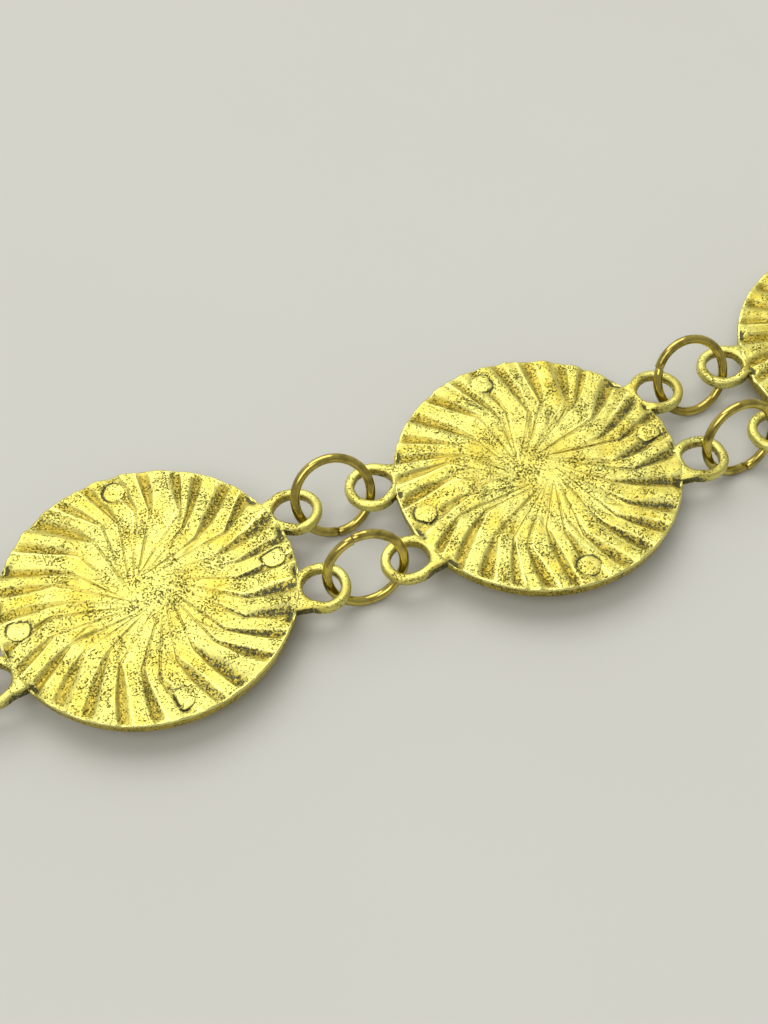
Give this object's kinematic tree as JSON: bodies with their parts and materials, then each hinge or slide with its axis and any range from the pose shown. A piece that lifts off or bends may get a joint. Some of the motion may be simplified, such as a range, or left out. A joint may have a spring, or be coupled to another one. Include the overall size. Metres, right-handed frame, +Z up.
{
  "type": "disc waist belt",
  "caption": "Chain belt of fluted cast discs with four eyes each, joined by pairs of jump rings, laid open along a shallow arc with a double hook at one end.",
  "frame": {"origin": "on the surface that the belt lies on, under the middle of its outline", "axes": "+X along the belt from the hook to the free end, +Y to the side towards which both ends curve, +Z up"},
  "size_m": [0.8126, 0.1272, 0.0127],
  "materials": {
    "cast_gold": "zinc alloy casting, gold plated, brushed on the ridges, with dark grey-green residue in the hollows",
    "wire_gold": "drawn brass wire, gold plated, smooth and a little worn"
  },
  "bodies": {
    "hook": {"hook": "cast_gold"},
    "disc_01": {"disc_01": "cast_gold"},
    "disc_02": {"disc_02": "cast_gold"},
    "disc_03": {"disc_03": "cast_gold"},
    "disc_04": {"disc_04": "cast_gold"},
    "disc_05": {"disc_05": "cast_gold"},
    "disc_06": {"disc_06": "cast_gold"},
    "disc_07": {"disc_07": "cast_gold"},
    "disc_08": {"disc_08": "cast_gold"},
    "disc_09": {"disc_09": "cast_gold"},
    "disc_10": {"disc_10": "cast_gold"},
    "disc_11": {"disc_11": "cast_gold"},
    "disc_12": {"disc_12": "cast_gold"},
    "disc_13": {"disc_13": "cast_gold"},
    "rings_00": {"ring_00_far": "wire_gold", "ring_00_near": "wire_gold"},
    "rings_01": {"ring_01_far": "wire_gold", "ring_01_near": "wire_gold"},
    "rings_02": {"ring_02_far": "wire_gold", "ring_02_near": "wire_gold"},
    "rings_03": {"ring_03_far": "wire_gold", "ring_03_near": "wire_gold"},
    "rings_04": {"ring_04_far": "wire_gold", "ring_04_near": "wire_gold"},
    "rings_05": {"ring_05_far": "wire_gold", "ring_05_near": "wire_gold"},
    "rings_06": {"ring_06_far": "wire_gold", "ring_06_near": "wire_gold"},
    "rings_07": {"ring_07_far": "wire_gold", "ring_07_near": "wire_gold"},
    "rings_08": {"ring_08_far": "wire_gold", "ring_08_near": "wire_gold"},
    "rings_09": {"ring_09_far": "wire_gold", "ring_09_near": "wire_gold"},
    "rings_10": {"ring_10_far": "wire_gold", "ring_10_near": "wire_gold"},
    "rings_11": {"ring_11_far": "wire_gold", "ring_11_near": "wire_gold"},
    "rings_12": {"ring_12_far": "wire_gold", "ring_12_near": "wire_gold"}
  },
  "joints": [
    {"name": "fold_07_in", "type": "hinge", "parent": "disc_07", "child": "rings_07", "pos_m": [0.04383, -0.04157, 0.00435], "axis": [0.0321, -0.9995, 0], "range_deg": [-40, 40]},
    {"name": "fold_07_out", "type": "hinge", "parent": "rings_07", "child": "disc_08", "pos_m": [0.05247, -0.04129, 0.00435], "axis": [0.0321, -0.9995, 0], "range_deg": [-40, 40]},
    {"name": "fold_08_in", "type": "hinge", "parent": "disc_08", "child": "rings_08", "pos_m": [0.10514, -0.0379, 0.00435], "axis": [-0.0962, 0.9954, 0], "range_deg": [-40, 40]},
    {"name": "fold_08_out", "type": "hinge", "parent": "rings_08", "child": "disc_09", "pos_m": [0.11374, -0.03707, 0.00435], "axis": [-0.0962, 0.9954, 0], "range_deg": [-40, 40]},
    {"name": "fold_09_in", "type": "hinge", "parent": "disc_09", "child": "rings_09", "pos_m": [0.16609, -0.03031, 0.00435], "axis": [-0.1599, 0.9871, 0], "range_deg": [-40, 40]},
    {"name": "fold_09_out", "type": "hinge", "parent": "rings_09", "child": "disc_10", "pos_m": [0.17462, -0.02893, 0.00435], "axis": [-0.1599, 0.9871, 0], "range_deg": [-40, 40]},
    {"name": "fold_10_in", "type": "hinge", "parent": "disc_10", "child": "rings_10", "pos_m": [0.22642, -0.01882, 0.00435], "axis": [0.2229, -0.9748, 0], "range_deg": [-40, 40]},
    {"name": "fold_10_out", "type": "hinge", "parent": "rings_10", "child": "disc_11", "pos_m": [0.23485, -0.01689, 0.00435], "axis": [0.2229, -0.9748, 0], "range_deg": [-40, 40]},
    {"name": "fold_11_in", "type": "hinge", "parent": "disc_11", "child": "rings_11", "pos_m": [0.2859, -0.00348, 0.00435], "axis": [0.285, -0.9585, 0], "range_deg": [-40, 40]},
    {"name": "fold_11_out", "type": "hinge", "parent": "rings_11", "child": "disc_12", "pos_m": [0.29418, -0.00102, 0.00435], "axis": [0.285, -0.9585, 0], "range_deg": [-40, 40]},
    {"name": "fold_12_in", "type": "hinge", "parent": "disc_12", "child": "rings_12", "pos_m": [0.34426, 0.01564, 0.00435], "axis": [-0.346, 0.9383, 0], "range_deg": [-40, 40]},
    {"name": "fold_12_out", "type": "hinge", "parent": "rings_12", "child": "disc_13", "pos_m": [0.35237, 0.01863, 0.00435], "axis": [-0.346, 0.9383, 0], "range_deg": [-40, 40]},
    {"name": "fold_06_in", "type": "hinge", "parent": "disc_07", "child": "rings_06", "pos_m": [-0.00895, -0.04157, 0.00435], "axis": [0.0321, 0.9995, 0], "range_deg": [-40, 40]},
    {"name": "fold_06_out", "type": "hinge", "parent": "rings_06", "child": "disc_06", "pos_m": [-0.01759, -0.04129, 0.00435], "axis": [0.0321, 0.9995, 0], "range_deg": [-40, 40]},
    {"name": "fold_05_in", "type": "hinge", "parent": "disc_06", "child": "rings_05", "pos_m": [-0.07026, -0.0379, 0.00435], "axis": [-0.0962, -0.9954, 0], "range_deg": [-40, 40]},
    {"name": "fold_05_out", "type": "hinge", "parent": "rings_05", "child": "disc_05", "pos_m": [-0.07886, -0.03707, 0.00435], "axis": [-0.0962, -0.9954, 0], "range_deg": [-40, 40]},
    {"name": "fold_04_in", "type": "hinge", "parent": "disc_05", "child": "rings_04", "pos_m": [-0.13121, -0.03031, 0.00435], "axis": [-0.1599, -0.9871, 0], "range_deg": [-40, 40]},
    {"name": "fold_04_out", "type": "hinge", "parent": "rings_04", "child": "disc_04", "pos_m": [-0.13974, -0.02893, 0.00435], "axis": [-0.1599, -0.9871, 0], "range_deg": [-40, 40]},
    {"name": "fold_03_in", "type": "hinge", "parent": "disc_04", "child": "rings_03", "pos_m": [-0.19154, -0.01882, 0.00435], "axis": [0.2229, 0.9748, 0], "range_deg": [-40, 40]},
    {"name": "fold_03_out", "type": "hinge", "parent": "rings_03", "child": "disc_03", "pos_m": [-0.19997, -0.01689, 0.00435], "axis": [0.2229, 0.9748, 0], "range_deg": [-40, 40]},
    {"name": "fold_02_in", "type": "hinge", "parent": "disc_03", "child": "rings_02", "pos_m": [-0.25102, -0.00348, 0.00435], "axis": [0.285, 0.9585, 0], "range_deg": [-40, 40]},
    {"name": "fold_02_out", "type": "hinge", "parent": "rings_02", "child": "disc_02", "pos_m": [-0.2593, -0.00102, 0.00435], "axis": [0.285, 0.9585, 0], "range_deg": [-40, 40]},
    {"name": "fold_01_in", "type": "hinge", "parent": "disc_02", "child": "rings_01", "pos_m": [-0.30938, 0.01564, 0.00435], "axis": [-0.346, -0.9383, 0], "range_deg": [-40, 40]},
    {"name": "fold_01_out", "type": "hinge", "parent": "rings_01", "child": "disc_01", "pos_m": [-0.31749, 0.01863, 0.00435], "axis": [-0.346, -0.9383, 0], "range_deg": [-40, 40]},
    {"name": "fold_00_in", "type": "hinge", "parent": "disc_01", "child": "rings_00", "pos_m": [-0.3664, 0.03847, 0.00435], "axis": [-0.4055, -0.9141, 0], "range_deg": [-40, 40]},
    {"name": "fold_00_out", "type": "hinge", "parent": "rings_00", "child": "hook", "pos_m": [-0.3743, 0.04197, 0.00435], "axis": [-0.4055, -0.9141, 0], "range_deg": [-40, 40]}
  ]
}
